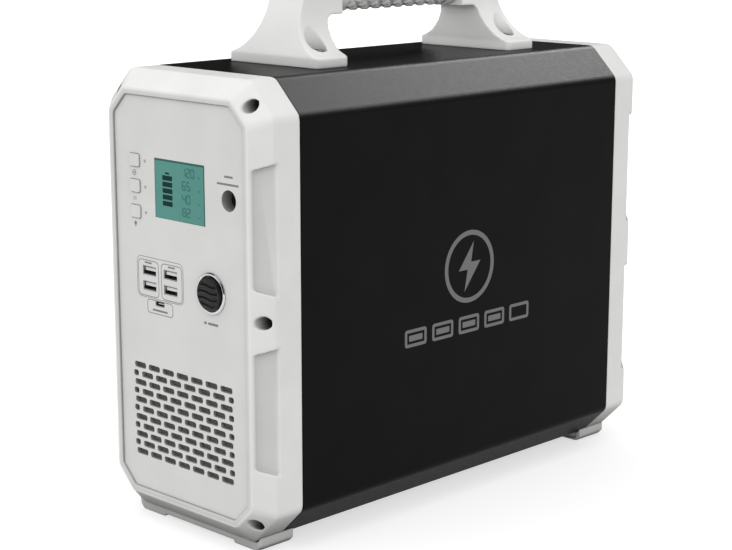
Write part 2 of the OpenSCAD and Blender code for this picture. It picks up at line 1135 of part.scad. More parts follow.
module battery_tie_rods() {
    half = pack_len / 2 + 3;
    color(steel)
        inside()
            for (p = rod_spots, s = [0, 180])
                translate([p.x, 0, p.y])
                    rotate([0, 0, s]) {
                        rotate([-90, 0, 0])
                            cylinder(r = 2, h = half + 4);
                        translate([0, half, 0])
                            rotate([-90, 0, 0])
                                cylinder(d = 8, h = 3.2, $fn = 6);
                    }
}

module busbars() {
    color(copper)
        inside()
            for (i = [0 : cell_count - 2])
                translate([(i % 2 == 0 ? 40 : -40), (i - (cell_count - 2) / 2) * cell_pitch,
                           cell_v + cell_size.z + 2])
                    plate([14, cell_pitch + 12], 2, 0, 1.2);
}

module insulator_sheet() {
    low = cell_v + cell_size.z + 3.2;
    color([0.85, 0.8, 0.6])
        inside()
            plate([cell_size.x, pack_len - 8], 4, low, low + 1.5);
}

module bms_board() {
    low = bms_top - board_t;
    color(board_green)
        inside() {
            block([-48, -120, low], [48, 20, low + board_t]);
            for (i = [0 : 5])
                block([-38 + 14 * i, -60, low + board_t], [-30 + 14 * i, -48, low + board_t + 3]);
            block([-20, -20, low + board_t], [20, 0, low + board_t + 5]);
            both_sides()
                block([24, 4, low + board_t], [36, 14, low + board_t + 7]);
        }
}

// ---- electronics deck --------------------------------------------------------

module deck_plate() {
    side = body_w / 2 - sleeve_wall - 0.5;
    color(steel)
        inside()
            block([-side, -150, deck_v], [side, 150, deck_v + deck_t]);
}

deck_posts = [for (u = [-56, 56]) for (y = [-128, 0, 128]) [u, y]];

module deck_standoffs() {
    color(copper)
        inside()
            for (p = deck_posts)
                at(p, deck_v + deck_t)
                    cylinder(d = 6, h = 7, $fn = 6);
}

module inverter_board() {
    color(board_green)
        inside()
            union() {
                block([-62, -135, inverter_v], [62, 135, inverter_v + board_t]);
                both_sides()
                    block([24, 122, inverter_v + board_t], [36, 132, inverter_v + board_t + 10]);
            }
}

module heatsinks() {
    fins = 5;
    low = inverter_v + board_t;
    color([0.7, 0.7, 0.72])
        inside()
            both_sides() {
                block([34, -90, low], [38, 90, low + 46]);
                for (i = [0 : fins - 1])
                    block([38, -90, low + 4 + 9 * i], [58, 90, low + 6 + 9 * i]);
            }
}

module transformers() {
    low = inverter_v + board_t;
    for (y = [-62, 8])
        inside()
            translate([0, y, low]) {
                color([0.2, 0.2, 0.2])
                    difference() {
                        block([-24, -15, 0], [24, 15, 44]);
                        block([-16, -16, 8], [16, 16, 36]);
                    }
                color(copper)
                    translate([0, 0, 8.5])
                        difference() {
                            plate([31, 40], 8, 0, 27);
                            plate([13, 14], 1, -1, 28);
                        }
                color([0.2, 0.2, 0.2])
                    block([-6, -6.5, 8], [6, 6.5, 36]);
            }
}

module capacitors() {
    low = inverter_v + board_t;
    color([0.15, 0.15, 0.3])
        inside()
            for (u = [-16, 16], y = [52, 80])
                translate([u, y, low])
                    cylinder(d = 24, h = 42);
}

// Two leads from the battery's board, round the rear end of the deck, to the inverter.
module battery_leads() {
    r = 2.5;
    bend = 10;
    rear = 153.5;
    low = bms_top + r + 0.5;
    high = inverter_v + board_t + r + 3;
    color([0.7, 0.1, 0.1])
        inside()
            for (s = [-30, 30]) {
                translate([s, 14, low])
                    rotate([-90, 0, 0])
                        cylinder(r = r, h = rear - bend - 14);
                translate([s, rear - bend, low + bend])
                    rotate([90, 0, 90])
                        rotate([0, 0, -90])
                            quarter_bend(bend, r);
                translate([s, rear, low + bend])
                    cylinder(r = r, h = high - low - 2 * bend);
                translate([s, rear - bend, high - bend])
                    rotate([90, 0, 90])
                        quarter_bend(bend, r);
                translate([s, 132, high])
                    rotate([-90, 0, 0])
                        cylinder(r = r, h = rear - bend - 132);
            }
}

module quarter_bend(bend, r) {
    rotate_extrude(angle = 90)
        translate([bend, 0])
            circle(r);
}

shell();
front_bezel();
rear_bezel();
front_panel();
rear_panel();
front_bezel_screws();
rear_bezel_screws();
front_feet();
rear_feet();
handle_front_foot();
handle_rear_foot();
handle_bar();
handle_grip();
handle_collars();
handle_bolts();
handle_nut_plates();
display_window();
display_module();
display_board();
button_switches();
ac_button();
dc_button();
light_button();
status_leds();
dc_input_jack();
usb_a_shells();
usb_a_tongues();
usb_c_port();
usb_board();
socket_housing();
socket_liner();
socket_contact();
socket_ring();
socket_nut();
socket_cap();
board_screws();
intake_fan_frame();
intake_fan_rotor();
exhaust_fan_frame();
exhaust_fan_rotor();
intake_filter();
exhaust_filter();
fan_screws();
ac_outlets();
outlet_screws();
battery_tray();
battery_cells();
battery_end_plates();
battery_tie_rods();
busbars();
insulator_sheet();
bms_board();
deck_plate();
deck_standoffs();
inverter_board();
heatsinks();
transformers();
capacitors();
battery_leads();
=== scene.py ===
"""Looks for the portable power station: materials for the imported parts, softly rounded mouldings, the grip's
scales, the socket's ribbed cap, the printed marks and the display, on a pale floor in soft studio light."""

import json
import math

import bmesh
import bpy
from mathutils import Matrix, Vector

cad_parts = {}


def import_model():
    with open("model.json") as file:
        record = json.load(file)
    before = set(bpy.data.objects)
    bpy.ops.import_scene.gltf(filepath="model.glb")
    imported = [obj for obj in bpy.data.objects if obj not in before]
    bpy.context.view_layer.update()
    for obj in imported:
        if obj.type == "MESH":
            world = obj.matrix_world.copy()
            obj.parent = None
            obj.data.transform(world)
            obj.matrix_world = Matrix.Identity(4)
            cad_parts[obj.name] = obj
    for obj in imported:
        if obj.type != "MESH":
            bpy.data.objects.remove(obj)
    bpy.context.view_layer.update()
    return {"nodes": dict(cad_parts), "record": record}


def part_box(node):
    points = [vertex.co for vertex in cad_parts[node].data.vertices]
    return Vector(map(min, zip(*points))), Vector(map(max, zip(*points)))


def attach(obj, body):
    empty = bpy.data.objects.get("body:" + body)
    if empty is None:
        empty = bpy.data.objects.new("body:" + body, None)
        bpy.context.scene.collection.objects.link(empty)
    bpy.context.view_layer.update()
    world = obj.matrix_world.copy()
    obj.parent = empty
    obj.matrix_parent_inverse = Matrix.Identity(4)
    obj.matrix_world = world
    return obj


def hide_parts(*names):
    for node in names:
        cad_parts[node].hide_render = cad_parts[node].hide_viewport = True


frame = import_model()
nodes = frame["nodes"]
MM = 0.001
CASING = "casing"
SAME_PLACE = 0.01 * MM
SAME_PLANE = math.radians(0.4)
SHARP_TURN = math.radians(30)

# ---- places worked out from the frame -------------------------------------------------------


def centre_of(node):
    low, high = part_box(node)
    return (low + high) / 2


def size_of(node):
    low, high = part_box(node)
    return high - low


sleeve_low, sleeve_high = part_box("shell")
panel_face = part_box("front_panel")[0].y
rear_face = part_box("rear_panel")[1].y
side_face = sleeve_high.x

# ---- camera ---------------------------------------------------------------------------------

CAMERA_SPOT = Vector((0.8542, -0.8852, 0.4112))
CAMERA_AZIMUTH = 44.63
CAMERA_ELEVATION = 12.26
CAMERA_LENS = 87.18

camera_data = bpy.data.cameras.new("camera")
camera_data.lens = CAMERA_LENS
camera_data.sensor_width = 36
camera_data.clip_start = 0.01
camera = bpy.data.objects.new("camera", camera_data)
camera.location = CAMERA_SPOT
camera.rotation_euler = (math.radians(90 - CAMERA_ELEVATION), 0, math.radians(CAMERA_AZIMUTH))
bpy.context.collection.objects.link(camera)
bpy.context.scene.camera = camera

# ---- materials ------------------------------------------------------------------------------


class Nodes:
    """A material's node tree with short calls for what these materials share."""

    def __init__(self, name, **sockets):
        self.material = bpy.data.materials.new(name)
        self.material.use_nodes = True
        self.tree = self.material.node_tree
        self.shader = self.tree.nodes["Principled BSDF"]
        for socket, value in sockets.items():
            self.shader.inputs[socket.replace("_", " ")].default_value = value
        self.coordinates = self.add("ShaderNodeTexCoord").outputs["Object"]

    def add(self, kind, **inputs):
        node = self.tree.nodes.new(kind)
        for socket, value in inputs.items():
            self.put(node.inputs[socket.replace("_", " ")], value)
        return node

    def put(self, socket, value):
        if isinstance(value, bpy.types.NodeSocket):
            self.tree.links.new(value, socket)
        else:
            socket.default_value = value

    def noise(self, size, detail=2.0, stretch=(1, 1, 1)):
        """Noise with features about size metres across, stretched along the axes."""
        mapping = self.add("ShaderNodeMapping", Vector=self.coordinates)
        mapping.inputs["Scale"].default_value = [1 / (size * s) for s in stretch]
        return self.add("ShaderNodeTexNoise", Vector=mapping.outputs[0], Scale=1.0, Detail=detail).outputs["Fac"]

    def blend_colour(self, factor, low, high, start=0.3, end=0.7):
        ramp = self.add("ShaderNodeValToRGB", Fac=factor)
        ramp.color_ramp.elements[0].position = start
        ramp.color_ramp.elements[0].color = (*low, 1)
        ramp.color_ramp.elements[1].position = end
        ramp.color_ramp.elements[1].color = (*high, 1)
        return ramp.outputs["Color"]

    def mapped(self, value, source, target):
        """value, carried from the range source to the range target."""
        spread = self.add("ShaderNodeMapRange", Value=value)
        for socket, number in zip(("From Min", "From Max", "To Min", "To Max"), (*source, *target)):
            spread.inputs[socket].default_value = number
        return spread.outputs[0]

    def between(self, factor, low, high):
        """A noise's factor, spread over low to high."""
        return self.mapped(factor, (0.3, 0.7), (low, high))

    def maths(self, operation, first, second):
        node = self.add("ShaderNodeMath")
        node.operation = operation
        self.put(node.inputs[0], first)
        self.put(node.inputs[1], second)
        return node.outputs[0]

    def bump(self, height, distance):
        bump = self.add("ShaderNodeBump", Height=height, Distance=distance, Strength=1.0)
        self.put(self.shader.inputs["Normal"], bump.outputs[0])

    def painted_crease_shade(self, open_colour, painted_shade_colour, reach=0.011):
        """open_colour, turning to a darker colour where other faces stand close by: ambient occlusion painted into
        the colour as shade in creases, corners and recesses.
        """
        ambient_occlusion = self.add("ShaderNodeAmbientOcclusion", Distance=reach)
        ambient_occlusion.samples = 6
        mix = self.add("ShaderNodeMix")
        mix.data_type = "RGBA"
        self.put(mix.inputs["Factor"], ambient_occlusion.outputs["AO"])
        self.put(mix.inputs[6], (*painted_shade_colour, 1))
        self.put(mix.inputs[7], open_colour)
        return mix.outputs[2]

    def painted_shade_where_marked(self, colour, attribute, share):
        """colour, less that share of it where the mesh's attribute is 1: painted shade on the marked places."""
        mark = self.add("ShaderNodeAttribute")
        mark.attribute_name = attribute
        product = self.add("ShaderNodeVectorMath")
        product.operation = "SCALE"
        self.put(product.inputs[0], colour)
        self.put(product.inputs["Scale"], self.mapped(mark.outputs["Fac"], (0, 1), (1, 1 - share)))
        return product.outputs[0]

    def colour(self, value):
        self.put(self.shader.inputs["Base Color"], value)

    def roughness(self, value):
        self.put(self.shader.inputs["Roughness"], value)


def scaled(colour, factor):
    return tuple(min(1.0, c * factor) for c in colour)


def moulded(name, colour, rough=0.42, grain=0.0006, depth=0.00004, spread=0.03, specular=0.3, crease_shade=None,
            reach=0.011, recess_shade=0.0):
    """Moulded plastic: fine spark texture, faint mottling and uneven gloss. The crease shade is how much of the
    colour is left within reach of other faces, as painted shade in creases, and the recess shade how much goes, as
    painted shade, in the places that the mesh marks."""
    m = Nodes(name, Specular_IOR_Level=specular)
    mottled = m.blend_colour(m.noise(0.03, 3), scaled(colour, 1 - spread), scaled(colour, 1 + spread))
    # Painted shade: ambient occlusion darkens the colour in creases and corners.
    shaded = mottled if crease_shade is None else m.painted_crease_shade(mottled, scaled(colour, crease_shade), reach)
    # Painted shade: the recesses that the mesh marks are darker still.
    m.colour(m.painted_shade_where_marked(shaded, "recess_shade", recess_shade) if recess_shade else shaded)
    m.roughness(m.between(m.noise(0.012, 4), rough - 0.05, rough + 0.06))
    m.bump(m.noise(grain, 2), depth)
    return m.material


def metal(name, colour, rough=0.35, stretch=(1, 1, 8), grain=0.0004):
    """Brushed or drawn metal, with its lines along the stretched axis."""
    m = Nodes(name, Metallic=1.0)
    m.colour(m.blend_colour(m.noise(0.01, 3), scaled(colour, 0.9), scaled(colour, 1.05)))
    m.roughness(m.between(m.noise(grain, 2, stretch), rough - 0.08, rough + 0.08))
    m.bump(m.noise(grain, 1, stretch), 0.00001)
    return m.material


def anodised(name):
    """Black anodised aluminium, nearly matt, with faint lengthwise drawing lines."""
    m = Nodes(name, Specular_IOR_Level=0.045)
    m.colour(m.blend_colour(m.noise(0.04, 4), (0.0050, 0.0050, 0.0051), (0.0062, 0.0062, 0.0063)))
    m.roughness(m.between(m.noise(0.0008, 3, (1, 6, 1)), 0.30, 0.40))
    m.bump(m.noise(0.0003, 2), 0.00001)
    return m.material


def weave(name, low, high, pitch):
    """A woven mesh: two crossed sets of threads, darker between them."""
    m = Nodes(name, Specular_IOR_Level=0.3)
    threads = []
    for axis in ("X", "Z"):
        wave = m.add("ShaderNodeTexWave", Vector=m.coordinates, Scale=0.314 / pitch, Distortion=0.4)
        wave.bands_direction = axis
        threads.append(wave.outputs["Fac"])
    crossed = m.maths("MAXIMUM", *threads)
    m.colour(m.blend_colour(crossed, low, high, 0.2, 0.9))
    m.roughness(m.between(m.noise(0.004, 2), 0.6, 0.75))
    m.bump(crossed, pitch * 0.3)
    return m.material


# case_white, panel_white and foot_grey carry painted shade in their creases, and case_white also in its marked
# pockets.
SLOTS = {
    "sleeve": anodised("sleeve"),
    "case_white": moulded("case_white", (0.805, 0.805, 0.788), crease_shade=0.0, reach=0.03, recess_shade=0.2),
    "panel_white": moulded("panel_white", (0.69, 0.69, 0.673), 0.45, crease_shade=0.2, reach=0.016),
    "foot_grey": moulded("foot_grey", (0.60, 0.60, 0.585), 0.55, crease_shade=0.1),
    "steel": metal("steel", (0.55, 0.55, 0.57)),
    "grip": moulded("grip", (0.70, 0.70, 0.685), 0.5, 0.0004, 0.00003),
    "display": moulded("display", (0.100, 0.295, 0.255), 0.25, 0.01, 0.0, specular=0.06),
    "lcd_body": moulded("lcd_body", (0.7, 0.7, 0.7)),
    "board": moulded("board", (0.02, 0.13, 0.06), 0.3, 0.002, 0.00002, 0.15),
    "black_plastic": moulded("black_plastic", (0.012, 0.012, 0.013), 0.42, spread=0.1),
    "led": moulded("led", (0.42, 0.42, 0.40), 0.3),
    "brass": metal("brass", (0.72, 0.52, 0.22), 0.3),
    "copper": metal("copper", (0.75, 0.38, 0.2), 0.3),
    "chrome": metal("chrome", (0.78, 0.78, 0.8), 0.12),
    "cap_rubber": moulded("cap_rubber", (0.010, 0.010, 0.010), 0.3, spread=0.15),
    "filter_mesh": weave("filter_mesh", (0.05, 0.05, 0.05), (0.14, 0.14, 0.14), 1.2 * MM),
    "cell_case": metal("cell_case", (0.1, 0.2, 0.45), 0.4),
    "insulation": moulded("insulation", (0.65, 0.56, 0.34), 0.6),
    "heatsink": metal("heatsink", (0.62, 0.62, 0.64), 0.3, (1, 12, 1)),
    "lead_insulation": moulded("lead_insulation", (0.4, 0.02, 0.02), 0.4),
}
# The handle's feet carry strong painted shade in their creases.
HANDLE_WHITE = moulded("handle_white", (0.79, 0.79, 0.775), crease_shade=0.7)
PRINT_GREY = moulded("print_grey", (0.22, 0.22, 0.215), 0.6, 0.002, 0.0)
EMBLEM_GREY = moulded("emblem_grey", (0.17, 0.17, 0.172), 0.45, 0.002, 0.0)
LCD_SHADE = moulded("lcd_shade", (0.040, 0.14, 0.12), 0.25, 0.01, 0.0, specular=0.06)
LCD_DARK = moulded("lcd_dark", (0.003, 0.034, 0.030), 0.25, 0.01, 0.0, specular=0.06)
LCD_FAINT = moulded("lcd_faint", (0.050, 0.18, 0.155), 0.25, 0.01, 0.0, specular=0.06)

for subpart in frame["record"]["subparts"]:
    node = nodes[subpart["node"]]
    node.data.materials.clear()
    button = subpart["node"].endswith("_button")
    node.data.materials.append(SLOTS["panel_white" if button else subpart["material_slot"]])

# ---- soft edges on the CAD parts ------------------------------------------------------------


def add_modifiers(piece, *steps):
    for kind, settings in steps:
        modifier = piece.modifiers.new(kind, kind)
        for name, value in settings.items():
            setattr(modifier, name, value)


def even_shading(keep_sharp=False):
    """The modifier that lets the large faces settle how a rounded edge is shaded."""
    return "WEIGHTED_NORMAL", {"keep_sharp": keep_sharp}


def joined(turn):
    """The modifier that joins neighbouring faces which turn by less than that."""
    return "DECIMATE", {"decimate_type": "DISSOLVE", "angle_limit": turn}


def soften(node, width):
    """Rounds the sharp edges of a CAD part, whose own mesh stays as it is."""
    piece = nodes[node]
    add_modifiers(piece, ("WELD", {"merge_threshold": SAME_PLACE}), joined(SAME_PLANE),
                  ("BEVEL", {"width": width, "segments": 3, "limit_method": "ANGLE", "angle_limit": SHARP_TURN,
                             "use_clamp_overlap": False}), even_shading())
    for polygon in piece.data.polygons:
        polygon.use_smooth = True


for node, width in {"ac_button": 0.6, "dc_button": 0.6, "light_button": 0.6, "handle_collars": 0.8,
                    "socket_ring": 0.15, "ac_outlets": 0.4}.items():
    soften(node, width * MM)

# ---- making pieces --------------------------------------------------------------------------


def add_piece(name, mesh, body, material, smooth=False):
    piece = bpy.data.objects.new(name, mesh)
    bpy.context.collection.objects.link(piece)
    mesh.materials.clear()
    mesh.materials.append(material)
    for polygon in mesh.polygons:
        polygon.use_smooth = smooth
    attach(piece, body)
    return piece


def revolved(name, rows, columns, place, shape):
    """A closed surface of revolution. shape gives the radius and height of a row at an angle, and place turns
    radius times cosine, radius times sine and height into a point."""
    form = bmesh.new()
    rings = []
    for row in rows:
        ring = []
        for column in range(columns):
            angle = math.tau * column / columns
            radius, height = shape(row, angle)
            ring.append(form.verts.new(place(radius * math.cos(angle), radius * math.sin(angle), height)))
        rings.append(ring)
    for first, second in zip(rings, rings[1:] + rings[:1]):
        for column in range(columns):
            after = (column + 1) % columns
            form.faces.new((first[column], first[after], second[after], second[column]))
    bmesh.ops.remove_doubles(form, verts=form.verts, dist=0.000002)
    bmesh.ops.recalc_face_normals(form, faces=form.faces)
    mesh = bpy.data.meshes.new(name)
    form.to_mesh(mesh)
    form.free()
    return mesh


def smooth_step(value, start, end):
    """0 up to start, 1 from end on, and an even curve between."""
    t = min(1.0, max(0.0, (value - start) / (end - start)))
    return t * t * (3 - 2 * t)


# ---- the grip's raised scales ---------------------------------------------------------------


def grip():
    centre, size = centre_of("handle_grip"), size_of("handle_grip")
    outer, half = size.x / 2, size.y / 2
    bore = size_of("handle_bar").x / 2 + 0.05 * MM
    around, pitch, relief, margin = 10, 11 * MM, 1.1 * MM, 2.5 * MM
    groove, crest, rim_level = 0.03, 0.30, 0.2
    steps, columns = 200, 160

    def scales(height, angle):
        """1 on a scale and 0 in the grooves between them, which cross like a net."""
        across, along = around * angle / math.tau, height / pitch
        first, second = (across + along) % 1, (across - along) % 1
        edge = min(first, 1 - first, second, 1 - second)
        raised = smooth_step(edge, groove, crest)
        fade = smooth_step(half - abs(height), 0.5 * MM, margin)
        return raised * fade + (1 - fade) * rim_level

    def shape(row, angle):
        kind, height = row
        if kind == "bore":
            return bore, height
        if kind == "rim":
            return outer - relief, height
        return outer - relief * (1 - scales(height, angle)), height

    skin = [("skin", -half + 2 * half * i / steps) for i in range(1, steps)]
    rows = [("bore", -half), ("rim", -half)] + skin + [("rim", half), ("bore", half)]
    mesh = revolved("grip_scales", rows, columns,
                    lambda u, v, height: (centre.x + u, centre.y + height, centre.z + v), shape)
    piece = add_piece("grip_scales", mesh, CASING, SLOTS["grip"], smooth=True)
    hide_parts("handle_grip")


grip()

# ---- the socket's ribbed cap ----------------------------------------------------------------


def ribbed_cap():
    low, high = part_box("socket_cap")
    middle = centre_of("socket_cap")
    top, foot = low.y, high.y
    under_head = panel_face - 0.1 * MM
    roof = under_head + 2 * MM
    head = size_of("socket_cap").x / 2
    plug, hollow, round_off = head - 0.7 * MM, head - 3 * MM, 1.1 * MM
    rib_pitch, relief, dome = 4.2 * MM, 0.9 * MM, 0.5 * MM
    wave_height, wave_length = 0.6 * MM, 2.6 * MM
    steps, columns, edge_steps = 44, 96, 5

    def crown(radius, angle):
        """How far the cap's face lies behind its highest point: wavy ribs on a shallow dome."""
        u, v = radius * math.cos(angle), radius * math.sin(angle)
        wave = v + wave_height * math.sin(u / wave_length)
        rib = 0.5 + 0.5 * math.cos(math.tau * wave / rib_pitch)
        inside = smooth_step(head - round_off - radius, 0, 1.2 * MM)
        return relief * (1 - smooth_step(rib, 0.15, 0.75)) * inside + dome * (radius / head) ** 2

    def shape(row, angle):
        kind, value = row
        if kind == "face":
            return value, top + crown(value, angle)
        if kind == "edge":
            turn = math.radians(value)
            start = top + crown(head - round_off, angle)
            return head - round_off + round_off * math.sin(turn), start + round_off * (1 - math.cos(turn))
        return value, {"under": under_head, "plug": under_head, "foot": foot, "hollow": foot,
                       "roof": roof, "middle": roof}[kind]

    rows = [("face", (head - round_off) * i / steps) for i in range(steps + 1)]
    rows += [("edge", 90 * i / edge_steps) for i in range(1, edge_steps + 1)]
    rows += [("under", head), ("plug", plug), ("foot", plug), ("hollow", hollow), ("roof", hollow), ("middle", 0)]
    mesh = revolved("socket_cap_ribs", rows, columns,
                    lambda u, v, depth: (middle.x + u, depth, middle.z + v), shape)
    piece = add_piece("socket_cap_ribs", mesh, "socket_cap", SLOTS["cap_rubber"], smooth=True)
    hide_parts("socket_cap")


ribbed_cap()

# ---- rounded copies of the big mouldings ----------------------------------------------------

CORNER = 8 * MM
HALF_TURN = math.radians(22.5)
CORNER_REACH = CORNER * math.sin(HALF_TURN)
CORNER_FADE = (12 * MM, 16 * MM)
# How far under the outer faces the painted shade of the caps' pockets begins and becomes full.
RECESS_SHADE_DEPTHS = (0.8 * MM, 2.2 * MM)
sleeve_middle = (sleeve_low.z + sleeve_high.z) / 2
half_width, half_height = side_face, (sleeve_high.z - sleeve_low.z) / 2
flat_top = max(v.co.x for v in nodes["shell"].data.vertices if sleeve_high.z - v.co.z < SAME_PLACE)
chamfer = half_width - flat_top
# One quarter's two corners of the sleeve's outline: where they are and which way they point.
CORNERS = [(half_width, half_height - chamfer, math.cos(HALF_TURN), math.sin(HALF_TURN)),
           (half_width - chamfer, half_height, math.sin(HALF_TURN), math.cos(HALF_TURN))]


def turn_corner(spot):
    """Pulls a point near one of the outline's eight corners in, so that the corner has a radius."""
    x, z = abs(spot.x), abs(spot.z - sleeve_middle)
    for corner_x, corner_z, out_x, out_z in CORNERS:
        du, dv = x - corner_x, z - corner_z
        aside = abs(du * out_z - dv * out_x)
        under = -(du * out_x + dv * out_z) - aside * math.tan(HALF_TURN)
        if aside < CORNER_REACH and under < CORNER_FADE[1]:
            cut = CORNER / math.cos(HALF_TURN) - math.sqrt(CORNER ** 2 - aside ** 2) - aside * math.tan(HALF_TURN)
            cut *= 1 - smooth_step(under, *CORNER_FADE)
            spot.x -= math.copysign(out_x * cut, spot.x)
            spot.z -= math.copysign(out_z * cut, spot.z - sleeve_middle)


def cut_beside(form, corner, aside, cuts=7):
    """Cuts the long faces at one corner of the sleeve lengthwise, so that the corner can turn."""
    for step in range(-cuts, cuts + 1):
        faces = [face for face in form.faces if abs(face.normal.y) < 0.5 and any(
            math.hypot(v.co.x - corner.x, v.co.z - corner.z) < CORNER / 2 for v in face.verts)]
        geometry = set(faces)
        for face in faces:
            geometry.update(face.verts)
            geometry.update(face.edges)
        bmesh.ops.bisect_plane(form, geom=list(geometry), dist=0.001 * MM,
                               plane_co=corner + aside * (CORNER_REACH * step / cuts), plane_no=aside)


def rounded_sleeve():
    """The sleeve with its long corners cut lengthwise and turned."""
    form = bmesh.new()
    form.from_mesh(nodes["shell"].data)
    bmesh.ops.remove_doubles(form, verts=form.verts, dist=SAME_PLACE)
    bmesh.ops.dissolve_limit(form, angle_limit=SAME_PLANE, verts=form.verts, edges=form.edges)
    for corner_x, corner_z, out_x, out_z in CORNERS:
        for sign_x, sign_z in ((1, 1), (1, -1), (-1, 1), (-1, -1)):
            cut_beside(form, Vector((sign_x * corner_x, 0, sleeve_middle + sign_z * corner_z)),
                       Vector((sign_x * out_z, 0, -sign_z * out_x)))
    for vertex in form.verts:
        turn_corner(vertex.co)
    form.normal_update()
    for edge in form.edges:
        edge.smooth = len(edge.link_faces) == 2 and edge.calc_face_angle() < SHARP_TURN
    mesh = bpy.data.meshes.new("sleeve_soft")
    form.to_mesh(mesh)
    form.free()
    piece = add_piece("sleeve_soft", mesh, CASING, SLOTS["sleeve"], smooth=True)
    add_modifiers(piece, even_shading(keep_sharp=True))
    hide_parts("shell")
    return piece


sleeve = rounded_sleeve()


def worked(mesh, *steps):
    """What the modifiers in steps make of a mesh."""
    work = bpy.data.objects.new("work", mesh)
    bpy.context.collection.objects.link(work)
    add_modifiers(work, *steps)
    graph = bpy.context.evaluated_depsgraph_get()
    result = bpy.data.meshes.new_from_object(work.evaluated_get(graph))
    bpy.data.objects.remove(work)
    return result


def soft_copy(node, grid, rounds, corners=False, join=()):
    """A CAD part's skin rebuilt on a fine grid and smoothed, so that every edge turns gently."""
    mesh = worked(nodes[node].data.copy(), ("REMESH", {"mode": "VOXEL", "voxel_size": grid}))
    if corners:
        for vertex in mesh.vertices:
            turn_corner(vertex.co)
    return worked(mesh, ("SMOOTH", {"factor": 0.5, "iterations": rounds}), *join)


def mark_recess_shade(mesh, node):
    """Marks the points that lie under a cap's outer faces, so that its material can paint shade into its pockets.
    """
    source = [vertex.co for vertex in nodes[node].data.vertices]
    end = max(abs(co.y) for co in source)
    inset = half_width - max(abs(co.x) for co in source if end - abs(co.y) < SAME_PLACE)
    bevel = end - max(abs(co.y) for co in source if half_width - abs(co.x) < SAME_PLACE)
    marks = mesh.attributes.new("recess_shade", "FLOAT", "POINT")
    for vertex, mark in zip(mesh.vertices, marks.data):
        x, y, z = abs(vertex.co.x), abs(vertex.co.y), abs(vertex.co.z - sleeve_middle)
        under = min(half_width - x, half_height - z, (half_width + half_height - chamfer - x - z) / math.sqrt(2))
        under -= inset * max(0, 1 - (end - y) / bevel)
        mark.value = smooth_step(under, *RECESS_SHADE_DEPTHS)


def rounded_moulding(node, name, slot, grid):
    cap = slot == "case_white"
    mesh = soft_copy(node, grid, rounds=13, corners=cap, join=[joined(math.radians(0.6))])
    # The caps get marks for the painted shade of their pockets.
    if cap:
        mark_recess_shade(mesh, node)
    piece = add_piece(name, mesh, CASING, SLOTS[slot], smooth=True)
    add_modifiers(piece, even_shading())
    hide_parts(node)


for end in ("front", "rear"):
    rounded_moulding(end + "_bezel", end + "_bezel_soft", "case_white", 0.7 * MM)
for end in ("front", "rear"):
    rounded_moulding(end + "_feet", end + "_feet_soft", "foot_grey", 0.6 * MM)


def rounded_foot(node, name):
    """The foot with soft edges: its skin is rebuilt on a fine grid and smoothed, and the base's corners turn."""
    low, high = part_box(node)
    mesh = soft_copy(node, 0.75 * MM, rounds=7)
    turn, base, base_depth = 4 * MM, 6.5 * MM, 28.5 * MM
    middle = centre_of(node)
    outward = -1 if middle.y < 0 else 1
    base_middle = (low.y if outward < 0 else high.y) - outward * base_depth / 2
    half = (size_of(node).x / 2, base_depth / 2)
    for vertex in mesh.vertices:
        height = vertex.co.z - low.z
        keep = 1 - smooth_step(height, base, base + 4 * MM)
        du = abs(vertex.co.x - middle.x) - (half[0] - turn)
        dv = abs(vertex.co.y - base_middle) - (half[1] - turn)
        if keep and du > 0 and dv > 0:
            shrink = 1 - keep * (1 - max(du, dv) / math.hypot(du, dv))
            vertex.co.x = middle.x + math.copysign(half[0] - turn + du * shrink, vertex.co.x - middle.x)
            vertex.co.y = base_middle + math.copysign(half[1] - turn + dv * shrink, vertex.co.y - base_middle)
        vertex.co.z = max(vertex.co.z, low.z)
    piece = add_piece(name, mesh, CASING, HANDLE_WHITE, smooth=True)
    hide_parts(node)
    return piece


rounded_foot("handle_front_foot", "front_foot_soft")
rear_foot = rounded_foot("handle_rear_foot", "rear_foot_soft")

# ---- printed marks --------------------------------------------------------------------------
# A shape is an outer outline and, where it is a line or a ring, an inner one with as many points, both in the
# face's own u and v.


def turned_point(u, v, radius, turn):
    return u + radius * math.cos(math.radians(turn)), v + radius * math.sin(math.radians(turn))


def arc_points(u, v, radius, start, end, steps):
    return [turned_point(u, v, radius, start + (end - start) * i / steps) for i in range(steps + 1)]


def ring_points(u, v, radius, steps):
    return arc_points(u, v, radius, 0, 360 - 360 / steps, steps - 1)


def rounded_outline(u, v, width, height, radius):
    right, top = width / 2 - radius, height / 2 - radius
    corners = ((right, top, 0), (-right, top, 90), (-right, -top, 180), (right, -top, 270))
    return [point for du, dv, start in corners
            for point in arc_points(u + du, v + dv, radius, start, start + 90, 4)]


def bar(u, v, width, height, radius=None):
    radius = 0.3 * min(width, height) if radius is None else radius
    return rounded_outline(u, v, width, height, radius), None


def outlined(u, v, width, height, radius, line):
    return (rounded_outline(u, v, width, height, radius),
            rounded_outline(u, v, width - 2 * line, height - 2 * line, max(radius - line, 0.1 * MM)))


def hoop(u, v, radius, line, steps=64):
    return ring_points(u, v, radius, steps), ring_points(u, v, radius - line, steps)


def disc(u, v, radius):
    return ring_points(u, v, radius, 32), None


def heading(start, end):
    """Which way end lies from start, in degrees."""
    return math.degrees(math.atan2(end[1] - start[1], end[0] - start[0]))


def stroke(points, line):
    """A line through the points with round ends, as one outline."""
    first, last = heading(*points[:2]), heading(*points[-2:])
    sides = {}
    for side in (-90, 90):
        sides[side] = []
        for before, here, after in zip(points, points[1:], points[2:]):
            turn = (heading(before, here) + heading(here, after)) / 2 + side
            sides[side].append(turned_point(*here, line / 2, turn))
    outline = (sides[-90] + arc_points(*points[-1], line / 2, last - 90, last + 90, 6)
               + sides[90][::-1] + arc_points(*points[0], line / 2, first + 90, first + 270, 6))
    return [(outline, None)]


